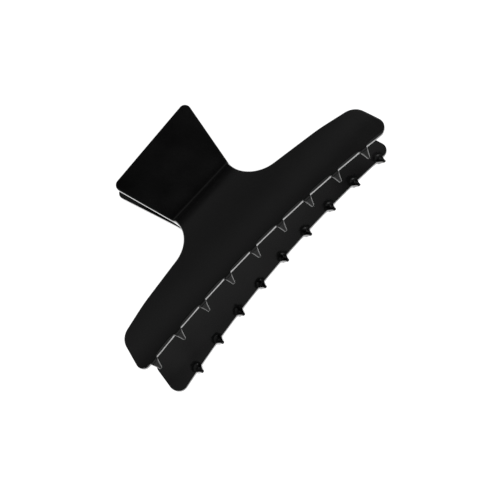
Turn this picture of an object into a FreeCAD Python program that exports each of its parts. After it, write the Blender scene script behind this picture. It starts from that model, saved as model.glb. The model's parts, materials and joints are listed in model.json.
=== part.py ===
import FreeCAD, Part
import math
import os

os.makedirs("parts", exist_ok=True)

# Sectioning clip: two equal moulded halves on a steel rivet, closed by a torsion spring.
# Sizes are in mm. They are first laid out in the hinge frame: X along the rivet, Y from the
# toothed edges towards the finger tabs, Z out of the plane between the halves, with the
# rivet's centre at the origin. At the end everything is laid down on its lower half.

# Wall and finger tab of one half
WALL = 1.7
TAB_END_Y = 24.0
TAB_END_Z = 5.97
TAB_CORNER_RIGHT = (14.4, 24.7)
TAB_CORNER_LEFT = (-14.0, 23.2)
TAB_CORNER_R = 1.6
TAB_CUT_Y = 30.0

# Crease between tab and jaw, and the jaw's curve from the crease to the toothed edge
CREASE_Y = 6.0
CREASE_Z = 3.3
CREASE_R = 0.8
SHOULDER_START = math.radians(68.0)
SHOULDER_END = math.radians(42.0)
SHOULDER_R = 7.0
EDGE_Y = -16.8
EDGE_Z = 15.86
EDGE_RUN_ON = 6.0

# Plan outline of the neck and wings. It is symmetrical, then turned by the slant, because the
# toothed edge isn't quite square to the finger tab.
WING_SLANT = math.radians(2.4)
NECK_CORNER = (8.0, -2.75)
NECK_R = 8.5
WING_BEND = (30.0, -6.45)
WING_BEND_R = 40.0
WING_SHOULDER = (39.65, -9.0)
WING_SHOULDER_R = 4.5
WING_TOE = (42.2, -19.75)
WING_TOE_R = 2.6

# Teeth
TEETH = 9
TOOTH_PITCH = 8.87
TOOTH_OFFSET = -2.4
TOOTH_BASE = (2.3, 1.62)
TOOTH_WAIST = (1.5, 1.2)
TOOTH_TIP = (0.75, 0.65)
TOOTH_ROOT_IN = 0.9
TOOTH_OUT = 1.75
TOOTH_IN = 3.6

# Hinge lugs, rivet and spring
LUG_R = 2.7
LUG_BORE_R = 1.05
LUG_SPANS = ((-8.2, -6.2), (4.0, 6.0))
LUG_TOP = ((3.4, 6.4), (-4.4, 11.6))
PIN_R = 1.0
PIN_HALF = 8.35
PIN_HEAD_R = 1.75
PIN_HEAD_T = 0.75
COIL_R = 2.2
WIRE_R = 0.5
COIL_PITCH = 1.1
COIL_TURNS_AROUND = 6
LEG_END_Y = 17.0
LEG_BEND_Y = 5.0
LEG_GAP = 0.05
GROOVE_DEPTH = 0.45
GROOVE_HALF = 0.65
GROOVE_Y = (3.0, 18.0)

# Height at which the spring leg's centre runs below the tab's inner face
LEG_BELOW = WIRE_R + LEG_GAP - GROOVE_DEPTH

TAB_ANGLE = math.atan2(TAB_END_Z - CREASE_Z, TAB_END_Y - CREASE_Y)


def yz(y, z, x=0.0):
    return FreeCAD.Vector(x, y, z)


def tab_outer_z(y):
    return CREASE_Z + (y - CREASE_Y) * math.tan(TAB_ANGLE)


def tab_inner_z(y):
    return tab_outer_z(y) - WALL / math.cos(TAB_ANGLE)


def on_arc(centre, radius, angle):
    """Point of a jaw arc where the surface runs outwards at this angle from -Y."""
    return (centre[0] + radius * math.sin(angle), centre[1] + radius * math.cos(angle))


def jaw_arcs():
    """Centres and radii of the shoulder arc and of the main jaw arc, and the end angle."""
    centre1 = (
        CREASE_Y - SHOULDER_R * math.sin(SHOULDER_START),
        CREASE_Z - SHOULDER_R * math.cos(SHOULDER_START),
    )
    join = on_arc(centre1, SHOULDER_R, SHOULDER_END)
    across = math.hypot(EDGE_Y - join[0], EDGE_Z - join[1])
    chord_angle = math.atan2(EDGE_Z - join[1], join[0] - EDGE_Y)
    half_turn = SHOULDER_END - chord_angle
    radius2 = across / (2.0 * math.sin(half_turn))
    centre2 = (
        join[0] - radius2 * math.sin(SHOULDER_END),
        join[1] - radius2 * math.cos(SHOULDER_END),
    )
    return centre1, centre2, radius2, chord_angle - half_turn


def arc_edge(centre, radius, start, end):
    points = [on_arc(centre, radius, a) for a in (start, (start + end) / 2.0, end)]
    return Part.Arc(*[yz(*p) for p in points]).toShape()


def line_edge(a, b):
    return Part.makeLine(yz(*a), yz(*b))


def wall_section():
    """The wall's closed section in the YZ plane, from past the tab's end to past the edge."""
    centre1, centre2, radius2, end = jaw_arcs()
    run = (-math.cos(end), math.sin(end))
    cut = TAB_CUT_Y
    outer_top = (cut, tab_outer_z(cut))
    inner_top = (cut, tab_inner_z(cut))
    crease = (CREASE_Y, CREASE_Z)
    outer_end = on_arc(centre2, radius2, end)
    inner_end = on_arc(centre2, radius2 - WALL, end)
    outer_run = (outer_end[0] + EDGE_RUN_ON * run[0], outer_end[1] + EDGE_RUN_ON * run[1])
    inner_run = (inner_end[0] + EDGE_RUN_ON * run[0], inner_end[1] + EDGE_RUN_ON * run[1])
    inner_crease = (
        CREASE_Y + WALL * math.sin(TAB_ANGLE),
        CREASE_Z - WALL * math.cos(TAB_ANGLE),
    )
    ridge_end = on_arc(centre1, SHOULDER_R - WALL, SHOULDER_START)
    ridge_mid = (
        CREASE_Y - WALL * math.sin((SHOULDER_START - TAB_ANGLE) / 2.0),
        CREASE_Z - WALL * math.cos((SHOULDER_START - TAB_ANGLE) / 2.0),
    )
    edges = [
        line_edge(outer_top, crease),
        arc_edge(centre1, SHOULDER_R, SHOULDER_START, SHOULDER_END),
        arc_edge(centre2, radius2, SHOULDER_END, end),
        line_edge(outer_end, outer_run),
        line_edge(outer_run, inner_run),
        line_edge(inner_run, inner_end),
        arc_edge(centre2, radius2 - WALL, end, SHOULDER_END),
        arc_edge(centre1, SHOULDER_R - WALL, SHOULDER_END, SHOULDER_START),
        Part.Arc(yz(*ridge_end), yz(*ridge_mid), yz(*inner_crease)).toShape(),
        line_edge(inner_crease, inner_top),
        line_edge(inner_top, outer_top),
    ]
    return Part.Face(Part.Wire(Part.__sortEdges__(edges)))


def near(a, b):
    return math.hypot(a[0] - b[0], a[1] - b[1]) < 1e-4


def rounded_corner(corner, before, after, radius):
    """Start, middle and end of the arc that rounds a corner between two straight sides."""
    here = FreeCAD.Vector(corner[0], corner[1], 0.0)
    to_before = (FreeCAD.Vector(before[0], before[1], 0.0) - here).normalize()
    to_after = (FreeCAD.Vector(after[0], after[1], 0.0) - here).normalize()
    half_angle = to_before.getAngle(to_after) / 2.0
    length = radius / math.tan(half_angle)
    inwards = (to_before + to_after).normalize()
    middle = here + inwards * (radius / math.sin(half_angle) - radius)
    return here + to_before * length, middle, here + to_after * length


def slanted(x, y):
    """A plan point of the symmetrical wing outline, turned by the slant."""
    c, t = math.cos(WING_SLANT), math.sin(WING_SLANT)
    return (c * x + t * y, c * y - t * x)


def plan_prism():
    """Upright prism of one half's plan outline, with its corners rounded."""
    wing = [
        (NECK_CORNER, NECK_R),
        (WING_BEND, WING_BEND_R),
        (WING_SHOULDER, WING_SHOULDER_R),
        (WING_TOE, WING_TOE_R),
    ]
    right = [(slanted(x, y), r) for (x, y), r in wing]
    left = [(slanted(-x, y), r) for (x, y), r in reversed(wing)]
    right.insert(0, (TAB_CORNER_RIGHT, TAB_CORNER_R))
    left.append((TAB_CORNER_LEFT, TAB_CORNER_R))
    by_toe = WING_TOE[0] - 0.1
    on_edge = [slanted(x, edge_y(by_toe)) for x in (by_toe, -by_toe)]
    corners = [corner for corner, radius in right + left]
    before = [corners[-1]] + corners[:-1]
    after = corners[1:] + [corners[0]]
    after[len(right) - 1] = on_edge[0]
    before[len(right)] = on_edge[1]
    arcs = []
    for (corner, radius), previous, following in zip(right + left, before, after):
        arcs.append(rounded_corner(corner, previous, following, radius))
    edges = []
    for i, (start, middle, end) in enumerate(arcs):
        following = arcs[(i + 1) % len(arcs)][0]
        edges.append(Part.Arc(start, middle, end).toShape())
        if i == len(right) - 1:
            mid_edge = FreeCAD.Vector(*slanted(0.0, EDGE_Y), 0.0)
            edges.append(Part.Arc(end, mid_edge, following).toShape())
        else:
            edges.append(Part.makeLine(end, following))
    face = Part.Face(Part.Wire(edges))
    face.translate(FreeCAD.Vector(0.0, 0.0, -1.0))
    return face.extrude(FreeCAD.Vector(0.0, 0.0, 24.0))


def edge_y(x):
    """Y of the toothed edge, a shallow arc that bows towards the hinge at mid-width."""
    drop = EDGE_Y - WING_TOE[1]
    radius = (WING_TOE[0] ** 2 + drop ** 2) / (2.0 * drop)
    return EDGE_Y - (radius - math.sqrt(radius ** 2 - x ** 2))


def rounded_section(width, depth, centre, side, up):
    """Rounded rectangle, its width along the direction side and its depth along up."""
    r = 0.35 * min(width, depth)
    hx, hu = width / 2.0, depth / 2.0

    def at(a, b):
        return centre + side * a + up * b

    c = r * (1.0 - math.sqrt(0.5))
    edges = []
    for sx, su, first in ((1, 1, 0), (-1, 1, 1), (-1, -1, 0), (1, -1, 1)):
        on_side = at(sx * hx, su * (hu - r))
        on_top = at(sx * (hx - r), su * hu)
        mid = at(sx * (hx - c), su * (hu - c))
        start, end = (on_side, on_top) if first == 0 else (on_top, on_side)
        if edges:
            edges.append(Part.makeLine(edges[-1].Vertexes[-1].Point, start))
        edges.append(Part.Arc(start, mid, end).toShape())
    edges.append(Part.makeLine(edges[-1].Vertexes[-1].Point, edges[0].Vertexes[0].Point))
    return Part.Wire(edges)


def tooth(x):
    """One tooth: it leaves the wall's edge and bends in towards the other half."""
    end_angle = jaw_arcs()[3]
    rim_x, rim_y = slanted(x, edge_y(x))
    rim_z = EDGE_Z + (EDGE_Y - rim_y) * math.tan(end_angle)
    side = yz(-math.sin(WING_SLANT), 0.0, math.cos(WING_SLANT))
    forward = yz(-math.cos(WING_SLANT), 0.0, -math.sin(WING_SLANT))
    rise = yz(0.0, 1.0)
    out = forward * math.cos(end_angle) + rise * math.sin(end_angle)
    normal = rise * math.cos(end_angle) - forward * math.sin(end_angle)
    root = yz(rim_y, rim_z, rim_x) - normal * (WALL / 2.0) - out * TOOTH_ROOT_IN
    tip = yz(rim_y, rim_z, rim_x) + forward * TOOTH_OUT - rise * TOOTH_IN
    rim = root + out * (TOOTH_ROOT_IN + 0.15)
    slant = (tip - rim).normalize()
    waist = rim + (tip - rim) * 0.42 + normal * 0.28
    sections = []
    for centre, along, size in (
        (root, out, TOOTH_BASE),
        (rim, (out * 1.6 + slant).normalize(), TOOTH_BASE),
        (waist, slant, TOOTH_WAIST),
        (tip, slant, TOOTH_TIP),
    ):
        sections.append(rounded_section(size[0], size[1], centre, side, side.cross(along)))
    return Part.makeLoft(sections, True, False)


def lug(span):
    """Flat hinge ear from the wall's inside down around the rivet, before its bore."""
    x0, x1 = span
    (front_y, front_z), (back_y, back_z) = LUG_TOP
    eye = Part.makeCylinder(LUG_R, x1 - x0, yz(0.0, 0.0, x0), FreeCAD.Vector(1, 0, 0))

    def tangent(y, z, side):
        reach = math.hypot(y, z)
        angle = math.atan2(z, y) + side * math.acos(LUG_R / reach)
        return (LUG_R * math.cos(angle), LUG_R * math.sin(angle))

    corners = [
        tangent(front_y, front_z, -1.0),
        (front_y, front_z),
        (back_y, back_z),
        tangent(back_y, back_z, 1.0),
        (0.0, 0.0),
    ]
    points = [yz(y, z, x0) for y, z in corners]
    web = Part.Face(Part.makePolygon(points + points[:1])).extrude(FreeCAD.Vector(x1 - x0, 0, 0))
    return eye.fuse(web)


def under_wall():
    """Everything on the hinge side of the wall's mid-surface, to trim the lugs with."""
    centre1, centre2, radius2, end = jaw_arcs()
    half = WALL / 2.0
    low = -5.0
    crease = (
        CREASE_Y + half * math.sin(TAB_ANGLE),
        CREASE_Z - half * math.cos(TAB_ANGLE),
    )
    start = on_arc(centre1, SHOULDER_R - half, SHOULDER_START)
    finish = on_arc(centre2, radius2 - half, end)
    edges = [
        line_edge((crease[0], low), crease),
        line_edge(crease, start),
        arc_edge(centre1, SHOULDER_R - half, SHOULDER_START, SHOULDER_END),
        arc_edge(centre2, radius2 - half, SHOULDER_END, end),
        line_edge(finish, (finish[0], low)),
        line_edge((finish[0], low), (crease[0], low)),
    ]
    face = Part.Face(Part.Wire(Part.__sortEdges__(edges)))
    face.translate(FreeCAD.Vector(-20.0, 0.0, 0.0))
    return face.extrude(FreeCAD.Vector(40.0, 0.0, 0.0))


def leg_side():
    """X of the end of the coil whose leg bears on the upper half."""
    turned = 360.0 * COIL_TURNS_AROUND - 2.0 * leg_tangent_deg()
    return COIL_PITCH * turned / 360.0 / 2.0


def leg_bend():
    return (LEG_BEND_Y, tab_inner_z(LEG_BEND_Y) - LEG_BELOW)


def leg_tangent_deg():
    """Angle around the coil, from +Y, at which a leg leaves it."""
    y, z = leg_bend()
    return math.degrees(math.atan2(z, y) + math.acos(COIL_R / math.hypot(y, z)))


def groove():
    """Channel in the tab's inner face that keeps the spring leg from sliding sideways."""
    x = leg_side()
    y0, y1 = GROOVE_Y
    corners = [
        (y0, tab_inner_z(y0) - 1.5),
        (y1, tab_inner_z(y1) - 1.5),
        (y1, tab_inner_z(y1) + GROOVE_DEPTH),
        (y0, tab_inner_z(y0) + GROOVE_DEPTH),
    ]
    points = [yz(y, z, x - GROOVE_HALF) for y, z in corners]
    face = Part.Face(Part.makePolygon(points + points[:1]))
    return face.extrude(FreeCAD.Vector(2.0 * GROOVE_HALF, 0.0, 0.0))


def half():
    """The upper half as moulded: wall, teeth, hinge lugs and spring groove."""
    section = wall_section()
    section.translate(FreeCAD.Vector(-50.0, 0.0, 0.0))
    shell = section.extrude(FreeCAD.Vector(100.0, 0.0, 0.0))
    crease_edges = []
    for edge in shell.Edges:
        ends = [(v.Y, v.Z) for v in edge.Vertexes]
        if len(ends) == 2 and near(ends[0], ends[1]) and near(ends[0], (CREASE_Y, CREASE_Z)):
            crease_edges.append(edge)
    shell = shell.makeFillet(CREASE_R, crease_edges)
    wall = shell.common(plan_prism())
    body = wall
    ears = under_wall()
    for span in LUG_SPANS:
        body = body.fuse(lug(span).common(ears))
    for i in range(TEETH):
        x = (i - (TEETH - 1) / 2.0) * TOOTH_PITCH + TOOTH_OFFSET
        body = body.fuse(tooth(x))
    bore = Part.makeCylinder(LUG_BORE_R, 30.0, yz(0.0, 0.0, -15.0), FreeCAD.Vector(1, 0, 0))
    return body.cut(bore).cut(groove()).removeSplitter()


def rivet():
    """Hinge rivet with a domed head at each end."""
    shank = Part.makeCylinder(
        PIN_R, 2.0 * PIN_HALF, yz(0.0, 0.0, -PIN_HALF), FreeCAD.Vector(1, 0, 0)
    )
    dome_r = (PIN_HEAD_R ** 2 + PIN_HEAD_T ** 2) / (2.0 * PIN_HEAD_T)
    body = shank
    for side in (-1.0, 1.0):
        ball = Part.makeSphere(dome_r, yz(0.0, 0.0, side * (PIN_HALF + PIN_HEAD_T - dome_r)))
        keep = Part.makeCylinder(
            PIN_HEAD_R, PIN_HEAD_T, yz(0.0, 0.0, side * PIN_HALF), FreeCAD.Vector(side, 0, 0)
        )
        body = body.fuse(ball.common(keep))
    return body.removeSplitter()


def wire_between(a, b):
    return Part.makeCylinder(WIRE_R, a.distanceToPoint(b), a, b - a)


def spring():
    """Torsion spring: a coil round the rivet with a leg along each tab's inner face."""
    x_end = leg_side()
    tangent = leg_tangent_deg()
    bend_y, bend_z = leg_bend()
    leaves = math.radians(tangent)
    axis = FreeCAD.Vector(1, 0, 0)
    helix = Part.makeHelix(COIL_PITCH, 2.0 * x_end, COIL_R, 0.0, True)
    helix.rotate(FreeCAD.Vector(0, 0, 0), FreeCAD.Vector(0, 1, 0), 90.0)
    start = helix.Edges[0].valueAt(helix.Edges[0].FirstParameter)
    turn = -tangent - math.degrees(math.atan2(start.z, start.y))
    helix.rotate(FreeCAD.Vector(0, 0, 0), axis, turn)
    helix.translate(FreeCAD.Vector(-x_end, 0, 0))
    path = Part.Wire(helix.Edges)
    first = helix.Edges[0]
    at = first.FirstParameter
    ring = Part.Wire(Part.makeCircle(WIRE_R, first.valueAt(at), first.tangentAt(at)))
    body = path.makePipeShell([ring], True, True)
    for side in (-1.0, 1.0):
        leave = yz(COIL_R * math.cos(leaves), side * COIL_R * math.sin(leaves), side * x_end)
        bend = yz(bend_y, side * bend_z, side * x_end)
        end = yz(LEG_END_Y, side * (tab_inner_z(LEG_END_Y) - LEG_BELOW), side * x_end)
        for joint in (leave, bend):
            body = body.fuse(Part.makeSphere(WIRE_R + 0.005, joint))
        body = body.fuse([wire_between(leave, bend), wire_between(bend, end)])
    return body


upper = half()
lower = upper.copy()
lower.rotate(FreeCAD.Vector(0, 0, 0), FreeCAD.Vector(0, 1, 0), 180.0)
nodes = {
    "upper_jaw": upper,
    "lower_jaw": lower,
    "hinge_pin": rivet(),
    "torsion_spring": spring(),
}

# Lay the clip on its lower half: the lower toothed edge and the lower tab's end touch z = 0.
# The angle is halved in on until both ends reach equally low.
def surface_points(shape):
    return [(p.x, p.y, p.z) for p in shape.tessellate(0.01)[0]]


def laid(point, angle):
    x, y, z = point
    c, t = math.cos(angle), math.sin(angle)
    return (x, c * y + t * z, c * z - t * y)


lower_points = surface_points(lower)
toothed_end = [p for p in lower_points if p[1] < 0.0]
tab_end = [p for p in lower_points if p[1] > 0.0]
lie_low, lie_high = 0.0, math.radians(25.0)
for _ in range(40):
    lie = (lie_low + lie_high) / 2.0
    if min(laid(p, lie)[2] for p in toothed_end) < min(laid(p, lie)[2] for p in tab_end):
        lie_low = lie
    else:
        lie_high = lie

points = [laid(p, lie) for shape in nodes.values() for p in surface_points(shape)]
low = [min(p[i] for p in points) for i in range(3)]
high = [max(p[i] for p in points) for i in range(3)]
shift = FreeCAD.Vector(-(low[0] + high[0]) / 2.0, -(low[1] + high[1]) / 2.0, -low[2])
for name, shape in nodes.items():
    shape.rotate(FreeCAD.Vector(0, 0, 0), FreeCAD.Vector(1, 0, 0), -math.degrees(lie))
    shape.translate(shift)
    shape.exportStep("parts/%s.step" % name)
    print(name, len(shape.Solids), shape.isValid(), round(shape.Volume, 2))
print("laid over by %.9f degrees, then moved by" % math.degrees(lie), tuple(shift))
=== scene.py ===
import json
import math

import bpy
import numpy as np
from mathutils import Matrix, Vector
from mathutils.geometry import delaunay_2d_cdt

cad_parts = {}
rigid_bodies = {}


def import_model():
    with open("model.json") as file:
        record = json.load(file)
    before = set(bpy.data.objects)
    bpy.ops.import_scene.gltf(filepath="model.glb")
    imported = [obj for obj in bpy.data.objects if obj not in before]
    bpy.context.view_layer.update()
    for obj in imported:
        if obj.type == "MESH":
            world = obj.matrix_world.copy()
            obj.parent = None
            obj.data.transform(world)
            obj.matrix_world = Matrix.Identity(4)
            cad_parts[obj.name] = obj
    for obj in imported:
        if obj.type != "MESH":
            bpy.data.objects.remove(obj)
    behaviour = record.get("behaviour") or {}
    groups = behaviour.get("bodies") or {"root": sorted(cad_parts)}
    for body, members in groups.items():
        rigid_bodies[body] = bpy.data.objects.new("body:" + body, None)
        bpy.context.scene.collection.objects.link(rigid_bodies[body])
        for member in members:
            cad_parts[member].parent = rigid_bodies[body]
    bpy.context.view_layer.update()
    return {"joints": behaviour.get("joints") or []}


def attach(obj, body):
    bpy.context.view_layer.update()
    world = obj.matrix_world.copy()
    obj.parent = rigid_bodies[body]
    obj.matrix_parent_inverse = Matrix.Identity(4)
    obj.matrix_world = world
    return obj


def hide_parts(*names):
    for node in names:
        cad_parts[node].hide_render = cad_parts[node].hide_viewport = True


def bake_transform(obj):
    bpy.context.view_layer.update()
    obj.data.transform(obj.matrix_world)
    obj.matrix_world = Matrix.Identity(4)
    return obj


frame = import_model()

# Sectioning clip: two equal mouldings on a rivet, with a torsion spring between them.
# Shapes are worked out in mm in the hinge frame: X along the rivet, Y from the toothed edges
# towards the finger tabs, Z out of the plane between the halves. They are then turned by the
# angle at which the clip lies on its lower half and moved to the hinge's place in the frame.
MM = 0.001
LIE = math.radians(13.584497)
HINGE = Vector(frame["joints"][0]["pos_m"])
LOWER, UPPER = frame["joints"][0]["parent"], frame["joints"][0]["child"]

# Wall, finger tab, crease and the jaw's curve
WALL = 1.7
TAB_END = (24.0, 5.97)
CREASE = (6.0, 3.3)
CREASE_SOFTNESS = 0.45
SHOULDER_R = 7.0
SHOULDER_START = math.radians(68.0)
SHOULDER_END = math.radians(42.0)
EDGE = (-16.8, 15.86)
TAB_ANGLE = math.atan2(TAB_END[1] - CREASE[1], TAB_END[0] - CREASE[0])

# Plan outline: x, y and corner radius. The wings are symmetrical, then turned by the slant.
WING_SLANT = math.radians(2.4)
TAB_RIGHT = (14.4, 24.7, 1.6)
TAB_LEFT = (-14.0, 23.2, 1.6)
WING = ((8.0, -2.75, 8.5), (30.0, -6.45, 40.0), (39.65, -9.0, 4.5), (42.2, -19.75, 2.6))
TOE = WING[-1]
# The toe at the -X end is tighter, so that its arc clears the end tooth's root.
LEFT_TOE_R = 1.9

# Teeth: half-widths along their length, and the bend from the wall's edge to the other half
TEETH = 9
TOOTH_PITCH = 8.87
TOOTH_OFFSET = -2.4
TOOTH_LENGTH = 4.25
TOOTH_HALF_WIDTHS = ((0.0, 1.15), (2.0, 0.76), (TOOTH_LENGTH, 0.36))
TOOTH_ROOT_R = 0.3
TOOTH_FLANK_R = 4.0
TOOTH_TIP_R = 0.33
TOOTH_TIP_THICKNESS = 0.6
TOOTH_BEND_R = 0.6
TOOTH_ANGLE = math.radians(-66.0)
# How far towards the tip the inner face's guiding point stands, as a share of the tip's reach
TOOTH_INNER_LEAD = 0.3

# Gussets: extra thickness of the wall at each tooth's root, on its inner side
GUSSET_HEIGHT = 1.1
GUSSET_LENGTH = 1.9
GUSSET_HALF_WIDTH = 1.45

# Rounding of the rims: smaller on the teeth, and larger outside between them
OUTER_RIM_R = 0.4
INNER_RIM_R = 0.2
TOOTH_RIM_SHARE = ((0.0, 1.0), (2.5, 1.0), (TOOTH_LENGTH, 0.7))
BETWEEN_TEETH_EXTRA_R = 0.3
BETWEEN_TEETH_START = 1.4
BETWEEN_TEETH_FADE = 1.2
EDGE_FADE = 0.5
RIM_ANGLES = (0.0, 22.5, 45.0, 67.5, 90.0)
# Where the middle of a rounding made in two steps lies, as a share of its radius
ROUND_MIDDLE = 0.3

# Hinge lugs, rivet and spring
LUG_R = 2.7
LUG_BORE_R = 1.05
LUG_SPANS = ((-8.2, -6.2), (4.0, 6.0))
LUG_TOP = ((3.4, 6.4), (-4.4, 11.6))
LUG_BEVEL = 0.22
LUG_BORE_CHAMFER = 0.12
PIN_R = 1.0
PIN_HALF = 8.35
PIN_HEAD_R = 1.75
PIN_HEAD_T = 0.75
PIN_HEAD_RIM = 0.12
PIN_HEAD_LIFT = 0.8
DOME_TIP_R = 0.04
COIL_R = 2.2
COIL_PITCH = 1.1
COIL_TURNS_AROUND = 6
WIRE_R = 0.5
WIRE_END_CHAMFER = 0.12
WIRE_END_SHARE = 0.7
LEG_END_Y = 17.0
LEG_BEND_Y = 5.0
LEG_BEND_LENGTH = 0.8
LEG_JOIN_SHARES = (0.33, 0.66)
GROOVE_DEPTH = 0.45
GROOVE_HALF = 0.65
GROOVE_END_Y = 18.0
GROOVE_SOFTNESS = 0.16
LEG_CLEARANCE = 0.05
LEG_BELOW = WIRE_R + LEG_CLEARANCE - GROOVE_DEPTH

# Mesh spacing. Straight sides bow out slightly, so that the fill has no three points in a line.
SIDE_BOW = 0.002
OUTLINE_STEP = 0.45
ARC_STEP = 0.3
ARC_TURN = math.radians(12.0)
NORMAL_STEP = 0.02
FILL_X = (-42.0, 42.5)
FILL_Y = (-24.0, 26.0)
FILL_STEP = 0.8
CREASE_BAND = (CREASE[0] - 3.0, CREASE[0] + 1.0)
CREASE_STEP = 0.14
GROOVE_MARGINS = (1.2, 1.4)
GROOVE_SIDE_PLACES = (0.45, 0.57, 0.62, 0.68, 0.73, 0.85)
GROOVE_END_PLACES = (-0.16, -0.08, -0.03, 0.03, 0.08, 0.16)
TOOTH_FILL_START = -1.6
TOOTH_FILL_STEP = 0.26
ROOT_END = 0.3
ROOT_SHARES = (-1.0, -0.66, -0.33, 0.0, 0.33, 0.66, 1.0)
TOOTH_SHARES = (-0.33, 0.0, 0.33)
TOOTH_PATCH_BACK = 1.8
TOOTH_PATCH_HALF = 1.4
EDGE_BAND = 0.7
RIM_CLEARANCE_AT_EDGE = 0.14
RIM_CLEARANCE = 0.22
LUG_SIDE_POINTS = 30
LUG_TOP_POINTS = 12
LUG_ROUND_POINTS = 32
PIN_SIDES = 56
DOME_RINGS = 14
SHANK_RINGS = 9
WIRE_SIDES = 14
LEG_POINTS = 16
BEND_POINTS = 7
COIL_POINTS = 260

# Stage: a glowing floor, grey surroundings by height, lights (name, place, size, power), camera
FLOOR_HALF = 3.0
FLOOR_GLOW = 0.9
# The surroundings' up direction leans towards +Y
WORLD_UP = (0.0, 0.2, 1.0)
WORLD_BELOW = 0.9
WORLD_OVERHEAD = 0.012
WORLD_STRENGTH = 2.0
WORLD_GREYS = (
    (0.15, 0.85),
    (0.215, 0.55),
    (0.265, 0.12),
    (0.4, 0.08),
    (0.75, 0.08),
    (0.87, 0.135),
    (0.94, 0.04),
)
LIGHTS = (
    ("key", (-0.9, -0.5, 0.5), 0.5, 2.0),
    ("fill", (0.7, 0.9, 0.6), 0.6, 1.2),
    ("panel", (0.045, -0.07, 0.47), 0.34, 0.1),
    ("tab_side", (0.14, 0.17, 0.45), 0.08, 0.004),
    ("low_side", (-0.25, 0.9, 0.4), 0.6, 0.06),
    ("front", (0.1, -0.8, 0.7), 0.9, 0.8),
)
LIGHT_TARGET = (0.0, 0.0, 0.01)
CAMERA_LENS = 123.5
CAMERA_SENSOR = 36.0
CAMERA_PLACE = (-0.039709, -0.018964, 0.43817)
CAMERA_TURN = (
    (0.678513, 0.729335, -0.087689),
    (-0.732977, 0.680085, -0.01511),
    (0.048615, 0.074528, 0.996033),
)


# --- Places -------------------------------------------------------------------------------

def to_row(points, half=1):
    """Hinge-frame points in mm as row-frame points in metres; half -1 is the lower half."""
    x, y, z = np.asarray(points, float).T
    x, z = half * x, half * z
    c, t = math.cos(LIE), math.sin(LIE)
    turned = np.stack([x, c * y + t * z, c * z - t * y], axis=1)
    return turned * MM + np.array(HINGE)


def turned_to_row(normals, half=1):
    """Hinge-frame directions in the row frame."""
    return (to_row(normals, half) - np.array(HINGE)) / MM


def ramp(x, table):
    return np.interp(x, [row[0] for row in table], [row[1] for row in table])


def smooth_step(x):
    x = np.clip(x, 0.0, 1.0)
    return x * x * (3.0 - 2.0 * x)


def unit(vectors):
    return vectors / np.linalg.norm(vectors, axis=1, keepdims=True)


# --- The wall's two surfaces --------------------------------------------------------------

def on_arc(centre, radius, angle):
    """Point of a jaw arc where the surface runs outwards at this angle from -Y."""
    return (centre[0] + radius * math.sin(angle), centre[1] + radius * math.cos(angle))


def jaw_arcs():
    """Centres and radii of the shoulder arc and of the main jaw arc, and the end angle."""
    centre1 = (
        CREASE[0] - SHOULDER_R * math.sin(SHOULDER_START),
        CREASE[1] - SHOULDER_R * math.cos(SHOULDER_START),
    )
    join = on_arc(centre1, SHOULDER_R, SHOULDER_END)
    across = math.hypot(EDGE[0] - join[0], EDGE[1] - join[1])
    chord_angle = math.atan2(EDGE[1] - join[1], join[0] - EDGE[0])
    half_turn = SHOULDER_END - chord_angle
    radius2 = across / (2.0 * math.sin(half_turn))
    centre2 = (
        join[0] - radius2 * math.sin(SHOULDER_END),
        join[1] - radius2 * math.cos(SHOULDER_END),
    )
    return centre1, centre2, radius2, chord_angle - half_turn


CENTRE1, CENTRE2, JAW_R, END_ANGLE = jaw_arcs()


def arc_z(y, centre, radius):
    return centre[1] + np.sqrt(np.maximum(radius ** 2 - (y - centre[0]) ** 2, 0.0))


def jaw_z(y, depth):
    """Height of the jaw's curve at this depth under its outer surface."""
    join_y = on_arc(CENTRE1, SHOULDER_R - depth, SHOULDER_END)[0]
    end_y, end_z = on_arc(CENTRE2, JAW_R - depth, END_ANGLE)
    shoulder = arc_z(y, CENTRE1, SHOULDER_R - depth)
    main = arc_z(y, CENTRE2, JAW_R - depth)
    straight = end_z + (end_y - y) * math.tan(END_ANGLE)
    return np.where(y > join_y, shoulder, np.where(y > end_y, main, straight))


def tab_z(y, depth):
    return CREASE[1] + (y - CREASE[0]) * math.tan(TAB_ANGLE) - depth / math.cos(TAB_ANGLE)


def outer_z(y):
    """Height of the outer surface: the tab and the jaw, blended softly in the crease."""
    steep = CREASE[1] - (y - CREASE[0]) * math.tan(SHOULDER_START)
    jaw = np.where(y < CREASE[0], jaw_z(y, 0.0), steep)
    tab = tab_z(y, 0.0)
    return (jaw + tab) / 2.0 + np.sqrt(((jaw - tab) / 2.0) ** 2 + CREASE_SOFTNESS ** 2)


def inner_z(y):
    """Height of the inner surface, with a rounded ridge under the crease."""
    ridge_start = CREASE[0] + WALL * math.sin(TAB_ANGLE)
    ridge_end = on_arc(CENTRE1, SHOULDER_R - WALL, SHOULDER_START)[0]
    ridge = CREASE[1] - np.sqrt(np.maximum(WALL ** 2 - (y - CREASE[0]) ** 2, 0.0))
    jaw = jaw_z(y, WALL)
    return np.where(y > ridge_start, tab_z(y, WALL), np.where(y > ridge_end, ridge, jaw))


def groove_share(x, y):
    """1 inside the spring's groove in the tab's inner face, 0 outside."""
    by_x = smooth_step((GROOVE_HALF - abs(x - leg_side())) / GROOVE_SOFTNESS + 0.5)
    by_y = smooth_step((GROOVE_END_Y - y) / GROOVE_SOFTNESS + 0.5)
    return by_x * by_y


def slanted(x, y):
    c, t = math.cos(WING_SLANT), math.sin(WING_SLANT)
    return c * x + t * y, c * y - t * x


def unslanted(x, y):
    c, t = math.cos(WING_SLANT), math.sin(WING_SLANT)
    return c * x - t * y, c * y + t * x


def edge_y(x):
    """Y of the toothed edge in the wing's own frame, a shallow arc."""
    drop = EDGE[0] - TOE[1]
    radius = (TOE[0] ** 2 + drop ** 2) / (2.0 * drop)
    return EDGE[0] - (radius - np.sqrt(radius ** 2 - x ** 2))


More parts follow.
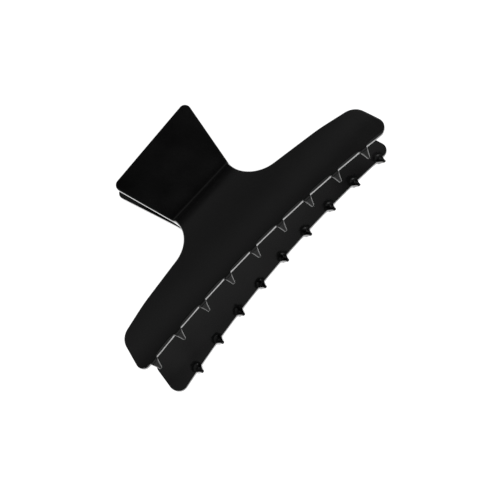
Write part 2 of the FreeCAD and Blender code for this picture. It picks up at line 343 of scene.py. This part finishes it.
def tooth_x(number):
    """X of a tooth's middle along the toothed edge."""
    return (number - (TEETH - 1) / 2.0) * TOOTH_PITCH + TOOTH_OFFSET


def beside_tooth(x):
    """Distance along the toothed edge from the middle of the nearest tooth."""
    place = (x - TOOTH_OFFSET) / TOOTH_PITCH + (TEETH - 1) / 2.0
    nearest = np.clip(np.round(place), 0, TEETH - 1)
    return abs(place - nearest) * TOOTH_PITCH


def gusset(x, before):
    """How much a tooth's root thickens the wall on its inner side, this far before the edge."""
    by_x = smooth_step(1.0 - beside_tooth(x) / GUSSET_HALF_WIDTH)
    return GUSSET_HEIGHT * by_x * np.clip(1.0 - before / GUSSET_LENGTH, 0.0, 1.0) ** 2


def tooth_outer(past):
    """How far forward and up a tooth's outer face has run, this far past the wall's edge."""
    bend = TOOTH_BEND_R * (END_ANGLE - TOOTH_ANGLE)
    in_bend = np.minimum(past, bend)
    straight = past - in_bend
    angle = END_ANGLE - in_bend / TOOTH_BEND_R
    forward = TOOTH_BEND_R * (math.sin(END_ANGLE) - np.sin(angle)) + straight * np.cos(angle)
    up = TOOTH_BEND_R * (np.cos(angle) - math.cos(END_ANGLE)) + straight * np.sin(angle)
    return forward, up


def tooth_inner(past, rim_depth):
    """The same for its inner face, a curve from the wall's inner rim to the tip."""
    tip_forward, tip_up = tooth_outer(TOOTH_LENGTH)
    tip_forward += TOOTH_TIP_THICKNESS * math.sin(TOOTH_ANGLE)
    tip_up -= TOOTH_TIP_THICKNESS * math.cos(TOOTH_ANGLE)
    share = past / TOOTH_LENGTH
    forward = 2.0 * share * (1.0 - share) * TOOTH_INNER_LEAD * tip_forward + share ** 2 * tip_forward
    up = -(1.0 - share ** 2) * rim_depth + share ** 2 * tip_up
    return forward, up


def surfaces(plan):
    """Outer and inner points of the moulding over plan points.

    Past the toothed edge the plan is unrolled: distance from the edge is measured along a
    tooth's outer face.
    """
    x, y = plan.T
    wing_x, wing_y = unslanted(x, y)
    past = np.maximum(edge_y(wing_x) - wing_y, 0.0)
    base_x, base_y = slanted(wing_x, wing_y + past)
    top, bottom = outer_z(base_y), inner_z(base_y)
    groove = np.maximum(tab_z(base_y, WALL) + GROOVE_DEPTH - bottom, 0.0)
    bottom = bottom + groove * groove_share(base_x, base_y)
    bottom = bottom - gusset(wing_x, np.maximum(wing_y - edge_y(wing_x), 0.0))
    both = []
    for forward, up in (tooth_outer(past), tooth_inner(past, top - bottom)):
        ahead_x, ahead_y = slanted(0.0, -forward)
        both.append(np.stack([base_x + ahead_x, base_y + ahead_y, top + up], axis=1))
    return both


def surface_normals(plan, side):
    """Normals over plan points of the outer surface (side 0) or the inner one (side 1)."""
    step = NORMAL_STEP
    across = surfaces(plan + [step, 0.0])[side] - surfaces(plan - [step, 0.0])[side]
    along = surfaces(plan + [0.0, step])[side] - surfaces(plan - [0.0, step])[side]
    return unit(np.cross(across, along)) * (1.0, -1.0)[side]


# --- The moulding's plan outline ----------------------------------------------------------

def moulding_corners():
    """Corners (x, y, radius) of one half's unrolled outline, clockwise from the tab's right."""
    right = [TAB_RIGHT] + [(*slanted(x, y), r) for x, y, r in WING]
    left = [(*slanted(-x, y), r) for x, y, r in reversed(WING)] + [TAB_LEFT]
    left[0] = (*left[0][:2], LEFT_TOE_R)
    teeth = []
    for i in reversed(range(TEETH)):
        x = tooth_x(i)
        flank = [(x + width, -past) for past, width in TOOTH_HALF_WIDTHS]
        flank += [(x - width, -past) for past, width in reversed(TOOTH_HALF_WIDTHS)]
        radii = (TOOTH_ROOT_R, TOOTH_FLANK_R, TOOTH_TIP_R)
        for (corner_x, past), radius in zip(flank, radii + radii[::-1]):
            teeth.append((*slanted(corner_x, edge_y(corner_x) + past), radius))
    return right + teeth + left


def outline_step(y):
    """Longest side of the outline near this Y: short where the wall curves sharply."""
    return CREASE_STEP if CREASE_BAND[0] < y < CREASE_BAND[1] else OUTLINE_STEP


def rounded_outline(corners):
    """Closed anticlockwise polygon through corners given clockwise, with their arcs."""
    points = []
    count = len(corners)
    for i, (x, y, radius) in enumerate(corners):
        here = np.array([x, y])
        back = np.array(corners[i - 1][:2]) - here
        ahead = np.array(corners[(i + 1) % count][:2]) - here
        back = back / np.linalg.norm(back)
        ahead = ahead / np.linalg.norm(ahead)
        half_angle = math.acos(float(np.clip(back @ ahead, -1.0, 1.0))) / 2.0
        length = radius / math.tan(half_angle)
        centre = here + (back + ahead) / np.linalg.norm(back + ahead) * radius / math.sin(half_angle)
        start = here + back * length - centre
        end = here + ahead * length - centre
        turn = math.atan2(start[0] * end[1] - start[1] * end[0], float(start @ end))
        by_length = int(abs(turn) * radius / ARC_STEP) + 1
        by_turn = int(abs(turn) / ARC_TURN) + 1
        steps = max(2, by_length, by_turn)
        for k in range(steps + 1):
            c, s = math.cos(turn * k / steps), math.sin(turn * k / steps)
            points.append(centre + (c * start[0] - s * start[1], s * start[0] + c * start[1]))
    points = points[::-1]
    divided = []
    for a, b in zip(points, points[1:] + points[:1]):
        span = np.linalg.norm(b - a)
        parts = max(1, math.ceil(span / outline_step((a[1] + b[1]) / 2.0)))
        outwards = np.array([b[1] - a[1], a[0] - b[0]]) / span
        for share in np.arange(parts) / parts:
            bow = SIDE_BOW * min(span, 1.0) * 4.0 * share * (1.0 - share)
            divided.append(a + (b - a) * share + outwards * bow)
    return np.array(divided)


def inwards_of(outline):
    """Unit directions into the material at each vertex of an anticlockwise outline."""
    before = unit(outline - np.roll(outline, 1, axis=0))
    after = unit(np.roll(outline, -1, axis=0) - outline)
    along = unit(before + after)
    return np.stack([-along[:, 1], along[:, 0]], axis=1)


def inside(points, outline):
    """Which points lie inside a closed outline."""
    found = np.zeros(len(points), bool)
    x, y = points.T
    for (x0, y0), (x1, y1) in zip(outline, np.roll(outline, -1, axis=0)):
        if y0 == y1:
            continue
        crosses = (y0 > y) != (y1 > y)
        found ^= crosses & (x < x0 + (y - y0) * (x1 - x0) / (y1 - y0))
    return found


def fill_points(outline):
    """Points to spread over the wall inside an outline: a grid, denser in the crease, at the
    spring's groove and along the teeth."""
    rows = np.concatenate([
        np.arange(FILL_Y[0], CREASE_BAND[0] - 0.1, FILL_STEP),
        np.arange(*CREASE_BAND, CREASE_STEP),
        np.arange(CREASE_BAND[1] + 0.3, GROOVE_END_Y - 0.5, FILL_STEP),
        GROOVE_END_Y + np.array(GROOVE_END_PLACES),
        np.arange(GROOVE_END_Y + FILL_STEP, FILL_Y[1], FILL_STEP),
    ])
    near_groove = np.array(GROOVE_SIDE_PLACES)
    columns = np.concatenate([
        np.arange(FILL_X[0], leg_side() - GROOVE_MARGINS[0], FILL_STEP),
        leg_side() - near_groove[::-1],
        [leg_side()],
        leg_side() + near_groove,
        np.arange(leg_side() + GROOVE_MARGINS[1], FILL_X[1], FILL_STEP),
    ])
    grid = np.stack(np.meshgrid(columns, rows), axis=-1).reshape(-1, 2)
    teeth = []
    for i in range(TEETH):
        x = tooth_x(i)
        for past in np.arange(TOOTH_FILL_START, TOOTH_LENGTH, TOOTH_FILL_STEP):
            width = ramp(max(past, 0.0), TOOTH_HALF_WIDTHS)
            for share in TOOTH_SHARES if past > ROOT_END else ROOT_SHARES:
                at = x + share * width
                teeth.append(slanted(at, edge_y(at) - past))
    points = np.concatenate([grid, np.array(teeth)])
    wing_x, wing_y = unslanted(*points.T)
    past = edge_y(wing_x) - wing_y
    clear = np.array([np.min(np.hypot(*(outline - p).T)) for p in points])
    needed = np.where(past > -EDGE_BAND, RIM_CLEARANCE_AT_EDGE, RIM_CLEARANCE)
    keep = inside(points, outline) & (clear > needed)
    at_tooth = (past > -TOOTH_PATCH_BACK) & (beside_tooth(wing_x) < TOOTH_PATCH_HALF)
    keep[:len(grid)] &= ~at_tooth[:len(grid)]
    return points[keep]


def filled(outline, points):
    """Anticlockwise triangles over an outline and the points inside it."""
    flat = [Vector(p) for p in np.concatenate([outline, points])]
    count = len(outline)
    border = [(i, (i + 1) % count) for i in range(count)]
    _, _, faces, sources, _, _ = delaunay_2d_cdt(flat, border, [], 1, 1e-6, True)
    source = [ids[0] for ids in sources]
    triangles = []
    for face in faces:
        a, b, c = (source[v] for v in face)
        ab, ac = flat[b] - flat[a], flat[c] - flat[a]
        triangles.append((a, b, c) if ab.cross(ac) > 0.0 else (a, c, b))
    triangles = np.array(triangles)
    middles = np.concatenate([outline, points])[triangles].mean(axis=1)
    return triangles[inside(middles, outline)]


# --- Meshes -------------------------------------------------------------------------------

def rim_radius(outline, side):
    """Rounding of the outer rim (side 0) or the inner one (side 1) at the outline's points."""
    wing_x, wing_y = unslanted(*outline.T)
    past = edge_y(wing_x) - wing_y
    radius = (OUTER_RIM_R, INNER_RIM_R)[side] * ramp(np.maximum(past, 0.0), TOOTH_RIM_SHARE)
    if side == 0:
        at_edge = smooth_step(1.0 - abs(past) / EDGE_FADE)
        between = smooth_step((beside_tooth(wing_x) - BETWEEN_TEETH_START) / BETWEEN_TEETH_FADE)
        radius = radius + BETWEEN_TEETH_EXTRA_R * at_edge * between
    return radius[:, None]


def face_normals(verts, faces):
    """Vertex normals, weighted by the area of the faces round each vertex."""
    total = np.zeros_like(verts)
    for face in faces:
        corners = verts[list(face)]
        area = np.zeros(3)
        for k in range(1, len(face) - 1):
            area += np.cross(corners[k] - corners[0], corners[k + 1] - corners[0])
        total[list(face)] += area
    return unit(total)


def grid_faces(rings, count, first=0, closed=False):
    """Quads between neighbouring rings of count vertices each."""
    faces = []
    last = rings if closed else rings - 1
    for r in range(last):
        a, b = first + r * count, first + (r + 1) % rings * count
        for i in range(count):
            j = (i + 1) % count
            faces.append((a + i, b + i, b + j, a + j))
    return faces


def moulded_wall():
    """Vertices, normals and faces of one half's wall and teeth, as a closed shell."""
    outline = rounded_outline(moulding_corners())
    inwards = inwards_of(outline)
    outer, inner = surfaces(outline)
    thickness = np.minimum(np.linalg.norm(inner - outer, axis=1, keepdims=True), WALL)
    through = (inner - outer) / thickness
    along = np.roll(outer, -1, axis=0) - np.roll(outer, 1, axis=0)
    verts, normals = [], []
    steps = [math.radians(a) for a in RIM_ANGLES]
    for side in (0, 1):
        radius = rim_radius(outline, side)
        across = (surfaces(outline + inwards * radius)[side] - (outer, inner)[side]) / radius
        for a in steps if side == 0 else reversed(steps):
            inset = radius * (1.0 - math.sin(a))
            depth = radius * (1.0 - math.cos(a))
            down = depth if side == 0 else thickness - depth
            place = surfaces(outline + inwards * inset)
            verts.append(place[0] + (place[1] - place[0]) * down / thickness)
            turn = -1.0 if side == 0 else 1.0
            slope = turn * math.cos(a) * across + math.sin(a) * through
            normals.append(unit(np.cross(slope, along)))
    rings = len(verts)
    count = len(outline)
    faces = grid_faces(rings, count)
    for side in (0, 1):
        border = outline + inwards * rim_radius(outline, side)
        points = fill_points(border)
        triangles = filled(border, points)
        ring_start = 0 if side == 0 else (rings - 1) * count
        fill_start = sum(len(v) for v in verts)
        verts.append(surfaces(points)[side])
        normals.append(surface_normals(points, side))
        numbered = np.where(triangles < count, triangles + ring_start, triangles - count + fill_start)
        faces += [tuple(t) if side == 0 else tuple(t[::-1]) for t in numbered.tolist()]
        normals[0 if side == 0 else rings - 1] = surface_normals(border, side)
    return np.concatenate(verts), np.concatenate(normals), faces


def lug_outline():
    """Outline in (y, z) of a hinge lug, anticlockwise, up to the middle of the wall."""
    (front_y, front_z), (back_y, back_z) = LUG_TOP

    def tangent(y, z, side):
        angle = math.atan2(z, y) + side * math.acos(LUG_R / math.hypot(y, z))
        return angle, (LUG_R * math.cos(angle), LUG_R * math.sin(angle))

    front_angle, front_low = tangent(front_y, front_z, -1.0)
    back_angle, back_low = tangent(back_y, back_z, 1.0)

    def under_wall(points):
        return [p for p in points if p[1] < (outer_z(p[0]) + inner_z(p[0])) / 2.0]

    front = under_wall(np.linspace(front_low, (front_y, front_z), LUG_SIDE_POINTS))
    back = under_wall(np.linspace((back_y, back_z), back_low, LUG_SIDE_POINTS))
    top_y = np.linspace(front[-1][0], back[0][0], LUG_TOP_POINTS)[1:-1]
    top = [(y, float(outer_z(y) + inner_z(y)) / 2.0) for y in top_y]
    bottom = []
    for angle in np.linspace(back_angle, front_angle + 2.0 * math.pi, LUG_ROUND_POINTS)[1:-1]:
        bottom.append((LUG_R * math.cos(angle), LUG_R * math.sin(angle)))
    return np.array([tuple(p) for p in front + top + back + bottom])


def lug(span):
    """Vertices, normals and faces of one hinge lug with its bore."""
    x0, x1 = span
    outline = lug_outline()
    reach = np.hypot(*outline.T)[:, None]
    rays = outline / reach
    bevel, chamfer = LUG_BEVEL, LUG_BORE_CHAMFER
    rings = []
    for x, way in ((x0, 1.0), (x1, -1.0)):
        face = [
            (rays * LUG_BORE_R, x + way * chamfer),
            (rays * (LUG_BORE_R + chamfer), x),
            (rays * (reach - bevel), x),
            (rays * (reach - ROUND_MIDDLE * bevel), x + way * ROUND_MIDDLE * bevel),
            (rays * reach, x + way * bevel),
        ]
        rings += face if way > 0.0 else face[::-1]
    verts = []
    for places, x in rings:
        verts.append(np.column_stack([np.full(len(places), x), places]))
    verts = np.concatenate(verts)
    faces = [face[::-1] for face in grid_faces(len(rings), len(outline), closed=True)]
    return verts, face_normals(verts, faces), faces


def moulding():
    """One whole half as moulded: the wall with its teeth and two hinge lugs."""
    parts = [moulded_wall()] + [lug(span) for span in LUG_SPANS]
    faces = []
    start = 0
    for verts, _, part_faces in parts:
        faces += [tuple(v + start for v in face) for face in part_faces]
        start += len(verts)
    verts = np.concatenate([part[0] for part in parts])
    normals = np.concatenate([part[1] for part in parts])
    return verts, normals, faces


def rivet():
    """The rivet: a shank with a domed head at each end, turned about X."""
    sides = PIN_SIDES
    dome_r = (PIN_HEAD_R ** 2 + PIN_HEAD_T ** 2) / (2.0 * PIN_HEAD_T)
    rim = PIN_HEAD_RIM
    profile = [
        (PIN_HALF, PIN_R),
        (PIN_HALF, PIN_HEAD_R - rim),
        (PIN_HALF + ROUND_MIDDLE * rim, PIN_HEAD_R - ROUND_MIDDLE * rim),
    ]
    for radius in np.linspace(PIN_HEAD_R, DOME_TIP_R, DOME_RINGS):
        drop = dome_r - math.sqrt(dome_r ** 2 - radius ** 2)
        lift = PIN_HEAD_LIFT * rim if radius == PIN_HEAD_R else 0.0
        profile.append((PIN_HALF + PIN_HEAD_T - drop + lift, radius))
    shank = [(x, PIN_R) for x in np.linspace(-PIN_HALF, PIN_HALF, SHANK_RINGS)]
    profile = [(-x, r) for x, r in reversed(profile)] + shank[1:-1] + profile
    verts = []
    for x, radius in profile:
        for k in range(sides):
            angle = 2.0 * math.pi * k / sides
            verts.append((x, radius * math.cos(angle), radius * math.sin(angle)))
    faces = [face[::-1] for face in grid_faces(len(profile), sides)]
    faces.append(tuple(reversed(range(sides))))
    faces.append(tuple(range((len(profile) - 1) * sides, len(profile) * sides)))
    verts = np.array(verts)
    return verts, face_normals(verts, faces), faces


def leg_tangent():
    """Angle round the coil, from +Y, at which a leg leaves it."""
    y, z = LEG_BEND_Y, tab_z(LEG_BEND_Y, WALL) - LEG_BELOW
    return math.atan2(z, y) + math.acos(COIL_R / math.hypot(y, z))


def leg_side():
    """X of the end of the coil whose leg bears on the upper half."""
    turns = COIL_TURNS_AROUND - leg_tangent() / math.pi
    return COIL_PITCH * turns / 2.0


def spring_path():
    """Centre line of the spring: a leg, the coil round the rivet, and the other leg."""
    x_end, leaves = leg_side(), leg_tangent()

    def leg_point(y, z, side):
        return np.array([side * x_end, y, side * z])

    def leg(side):
        bend = leg_point(LEG_BEND_Y, tab_z(LEG_BEND_Y, WALL) - LEG_BELOW, side)
        end = leg_point(LEG_END_Y, tab_z(LEG_END_Y, WALL) - LEG_BELOW, side)
        leave = leg_point(COIL_R * math.cos(leaves), COIL_R * math.sin(leaves), side)
        before = bend + (end - bend) * LEG_BEND_LENGTH / np.linalg.norm(end - bend)
        after = bend + (leave - bend) * LEG_BEND_LENGTH / np.linalg.norm(leave - bend)
        run = [end + (before - end) * s for s in np.linspace(0.0, 1.0, LEG_POINTS)[:-1]]
        for s in np.linspace(0.0, 1.0, BEND_POINTS):
            run.append((1 - s) ** 2 * before + 2 * s * (1 - s) * bend + s ** 2 * after)
        run += [after + (leave - after) * s for s in LEG_JOIN_SHARES]
        return run

    turned = 2.0 * math.pi * COIL_TURNS_AROUND - 2.0 * leaves
    coil = []
    for s in np.linspace(0.0, 1.0, COIL_POINTS):
        angle = -leaves - turned * s
        x = x_end * (2.0 * s - 1.0)
        coil.append(np.array([x, COIL_R * math.cos(angle), COIL_R * math.sin(angle)]))
    return np.array(leg(-1.0) + coil + leg(1.0)[::-1])


def tube(path, radius, sides):
    """A round wire along a path, with lightly chamfered ends."""
    along = unit(np.gradient(path, axis=0))
    up = unit(np.cross(along[:1], [[1.0, 0.0, 0.0]]))[0]
    ups = []
    for direction in along:
        up = up - direction * float(up @ direction)
        up = up / np.linalg.norm(up)
        ups.append(up)
    rings = [(path[0], 0, WIRE_END_SHARE), (path[0] + along[0] * WIRE_END_CHAMFER, 0, 1.0)]
    rings += [(path[k], k, 1.0) for k in range(1, len(path) - 1)]
    rings += [(path[-1] - along[-1] * WIRE_END_CHAMFER, -1, 1.0), (path[-1], -1, WIRE_END_SHARE)]
    verts = []
    for centre, k, share in rings:
        side = np.cross(along[k], ups[k])
        for j in range(sides):
            angle = 2.0 * math.pi * j / sides
            verts.append(centre + share * radius * (math.cos(angle) * ups[k] + math.sin(angle) * side))
    faces = [face[::-1] for face in grid_faces(len(rings), sides)]
    faces.append(tuple(reversed(range(sides))))
    faces.append(tuple(range((len(rings) - 1) * sides, len(rings) * sides)))
    verts = np.array(verts)
    return verts, face_normals(verts, faces), faces


def make_object(name, shape, half=1):
    """A smooth-shaded mesh object, its shape placed in the row frame."""
    verts, normals, faces = shape
    mesh = bpy.data.meshes.new(name)
    mesh.from_pydata(to_row(verts, half).tolist(), [], faces)
    mesh.polygons.foreach_set("use_smooth", [True] * len(mesh.polygons))
    mesh.normals_split_custom_set_from_vertices(turned_to_row(normals, half).tolist())
    mesh.update()
    obj = bpy.data.objects.new(name, mesh)
    bpy.context.scene.collection.objects.link(obj)
    return obj


# --- Materials ----------------------------------------------------------------------------

def new_material(name):
    material = bpy.data.materials.new(name)
    material.use_nodes = True
    nodes, links = material.node_tree.nodes, material.node_tree.links
    shader = nodes["Principled BSDF"]
    coords = nodes.new("ShaderNodeTexCoord").outputs["Object"]
    return material, nodes, links, shader, coords


def noise(nodes, links, coords, scale, detail=3.0, stretch=None):
    """A noise texture's value, its features about 1 / scale metres across."""
    if stretch:
        mapping = nodes.new("ShaderNodeMapping")
        mapping.inputs["Scale"].default_value = stretch
        links.new(coords, mapping.inputs["Vector"])
        coords = mapping.outputs["Vector"]
    texture = nodes.new("ShaderNodeTexNoise")
    texture.inputs["Scale"].default_value = scale
    texture.inputs["Detail"].default_value = detail
    links.new(coords, texture.inputs["Vector"])
    return texture.outputs["Fac"]


def spread(nodes, links, value, low, high, start=0.3, end=0.7):
    """Maps a value from start..end to low..high."""
    remap = nodes.new("ShaderNodeMapRange")
    remap.inputs["From Min"].default_value = start
    remap.inputs["From Max"].default_value = end
    remap.inputs["To Min"].default_value = low
    remap.inputs["To Max"].default_value = high
    links.new(value, remap.inputs["Value"])
    return remap.outputs["Result"]


def mixed(nodes, links, share, colour_a, colour_b):
    mix = nodes.new("ShaderNodeMix")
    mix.data_type = "RGBA"
    mix.inputs["A"].default_value = (*colour_a, 1.0)
    mix.inputs["B"].default_value = (*colour_b, 1.0)
    links.new(share, mix.inputs["Factor"])
    return mix.outputs["Result"]


def bump(nodes, links, height, distance, normal=None):
    node = nodes.new("ShaderNodeBump")
    node.inputs["Strength"].default_value = 1.0
    node.inputs["Distance"].default_value = distance
    links.new(height, node.inputs["Height"])
    if normal:
        links.new(normal, node.inputs["Normal"])
    return node.outputs["Normal"]


def black_plastic():
    """Glossy black moulded plastic with faint flow marks, fine texture and handling haze."""
    material, nodes, links, shader, coords = new_material("black_plastic")
    flow = noise(nodes, links, coords, scale=60.0, detail=2.0, stretch=(0.4, 1.6, 1.0))
    haze = noise(nodes, links, coords, scale=140.0, detail=5.0)
    grain = noise(nodes, links, coords, scale=3500.0, detail=2.0)
    wave = noise(nodes, links, coords, scale=220.0, detail=1.0)
    colour = mixed(nodes, links, flow, (0.0014, 0.0014, 0.0015), (0.0030, 0.0029, 0.0030))
    links.new(colour, shader.inputs["Base Color"])
    links.new(spread(nodes, links, haze, low=0.18, high=0.27), shader.inputs["Roughness"])
    shader.inputs["IOR"].default_value = 1.5
    smooth = bump(nodes, links, wave, 0.000012)
    links.new(bump(nodes, links, grain, 0.000002, smooth), shader.inputs["Normal"])
    return material


def plated_steel():
    """Nickel-plated rivet: bright, with rubbed haze and fine dents from riveting."""
    material, nodes, links, shader, coords = new_material("plated_steel")
    haze = noise(nodes, links, coords, scale=700.0, detail=4.0)
    dents = noise(nodes, links, coords, scale=1400.0, detail=1.0)
    colour = mixed(nodes, links, haze, (0.56, 0.54, 0.50), (0.70, 0.68, 0.64))
    links.new(colour, shader.inputs["Base Color"])
    links.new(spread(nodes, links, haze, low=0.16, high=0.34), shader.inputs["Roughness"])
    shader.inputs["Metallic"].default_value = 1.0
    links.new(bump(nodes, links, dents, 0.00001), shader.inputs["Normal"])
    return material


def spring_wire():
    """Drawn steel wire: greyer than the rivet, with streaks and a darker film in places."""
    material, nodes, links, shader, coords = new_material("spring_wire")
    streaks = noise(nodes, links, coords, scale=2600.0, detail=3.0)
    film = noise(nodes, links, coords, scale=260.0, detail=4.0)
    colour = mixed(nodes, links, film, (0.30, 0.29, 0.28), (0.52, 0.51, 0.49))
    links.new(colour, shader.inputs["Base Color"])
    links.new(spread(nodes, links, streaks, low=0.24, high=0.46), shader.inputs["Roughness"])
    shader.inputs["Metallic"].default_value = 1.0
    links.new(bump(nodes, links, streaks, 0.000006), shader.inputs["Normal"])
    return material


def pale_floor():
    """White surface with a glow of its own, like a light table."""
    material, nodes, links, shader, coords = new_material("pale_floor")
    cloud = noise(nodes, links, coords, scale=9.0, detail=3.0)
    colour = mixed(nodes, links, cloud, (0.86, 0.86, 0.86), (0.90, 0.90, 0.90))
    links.new(colour, shader.inputs["Base Color"])
    shader.inputs["Roughness"].default_value = 0.9
    shader.inputs["Specular IOR Level"].default_value = 0.0
    shader.inputs["Emission Color"].default_value = (1.0, 1.0, 1.0, 1.0)
    shader.inputs["Emission Strength"].default_value = FLOOR_GLOW
    return material


# --- Stage --------------------------------------------------------------------------------

def make_floor():
    mesh = bpy.data.meshes.new("floor")
    half = FLOOR_HALF
    corners = [(-half, -half), (half, -half), (half, half), (-half, half)]
    mesh.from_pydata([(x, y, 0.0) for x, y in corners], [], [(0, 1, 2, 3)])
    floor = bpy.data.objects.new("floor", mesh)
    bpy.context.scene.collection.objects.link(floor)
    floor.data.materials.append(pale_floor())
    floor.visible_glossy = False


def make_world():
    """Surroundings: white well below, dark above that, a faint band high up, darkest overhead."""
    world = bpy.data.worlds.new("studio")
    bpy.context.scene.world = world
    world.use_nodes = True
    nodes, links = world.node_tree.nodes, world.node_tree.links
    direction = nodes.new("ShaderNodeTexCoord").outputs["Generated"]
    tilted = nodes.new("ShaderNodeVectorMath")
    tilted.operation = "DOT_PRODUCT"
    tilted.inputs[1].default_value = WORLD_UP
    links.new(direction, tilted.inputs[0])
    height = spread(nodes, links, tilted.outputs["Value"], 0.0, 1.0, -1.0, 1.0)
    ramp_node = nodes.new("ShaderNodeValToRGB")
    stops = ramp_node.color_ramp.elements
    stops[0].position, stops[0].color = 0.0, (WORLD_BELOW, WORLD_BELOW, WORLD_BELOW, 1.0)
    stops[1].position = 1.0
    stops[1].color = (WORLD_OVERHEAD, WORLD_OVERHEAD, WORLD_OVERHEAD, 1.0)
    for place, grey in WORLD_GREYS:
        stop = stops.new(place)
        stop.color = (grey, grey, grey, 1.0)
    links.new(height, ramp_node.inputs["Fac"])
    links.new(ramp_node.outputs["Color"], nodes["Background"].inputs["Color"])
    nodes["Background"].inputs["Strength"].default_value = WORLD_STRENGTH


def soft_light(name, place, size, power):
    """A round area light aimed at the clip."""
    light = bpy.data.lights.new(name, "AREA")
    light.shape = "DISK"
    light.size = size
    light.energy = power
    obj = bpy.data.objects.new(name, light)
    bpy.context.scene.collection.objects.link(obj)
    obj.location = place
    aim = Vector(LIGHT_TARGET) - Vector(place)
    obj.rotation_euler = aim.to_track_quat("-Z", "Y").to_euler()


def make_camera():
    """Long lens almost straight above the clip, with the row of teeth running up to the right."""
    camera = bpy.data.cameras.new("camera")
    camera.lens = CAMERA_LENS
    camera.sensor_width = CAMERA_SENSOR
    obj = bpy.data.objects.new("camera", camera)
    bpy.context.scene.collection.objects.link(obj)
    obj.matrix_world = Matrix.Translation(CAMERA_PLACE) @ Matrix(CAMERA_TURN).to_4x4()
    bpy.context.scene.camera = obj


# --- The clip -----------------------------------------------------------------------------

plastic = black_plastic()
shape = moulding()
for body, node, half in ((UPPER, "upper_jaw", 1), (LOWER, "lower_jaw", -1)):
    jaw = make_object(node + "_moulding", shape, half)
    jaw.data.materials.append(plastic)
    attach(jaw, body)
    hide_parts(node)

pin = make_object("hinge_rivet", rivet())
pin.data.materials.append(plated_steel())
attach(pin, LOWER)
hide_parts("hinge_pin")

spring = make_object("spring_wire", tube(spring_path(), WIRE_R, WIRE_SIDES))
spring.data.materials.append(spring_wire())
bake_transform(spring)
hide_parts("torsion_spring")

make_floor()
make_world()
for name, place, size, power in LIGHTS:
    soft_light(name, place, size, power)
make_camera()
bpy.context.scene.view_settings.view_transform = "Standard"
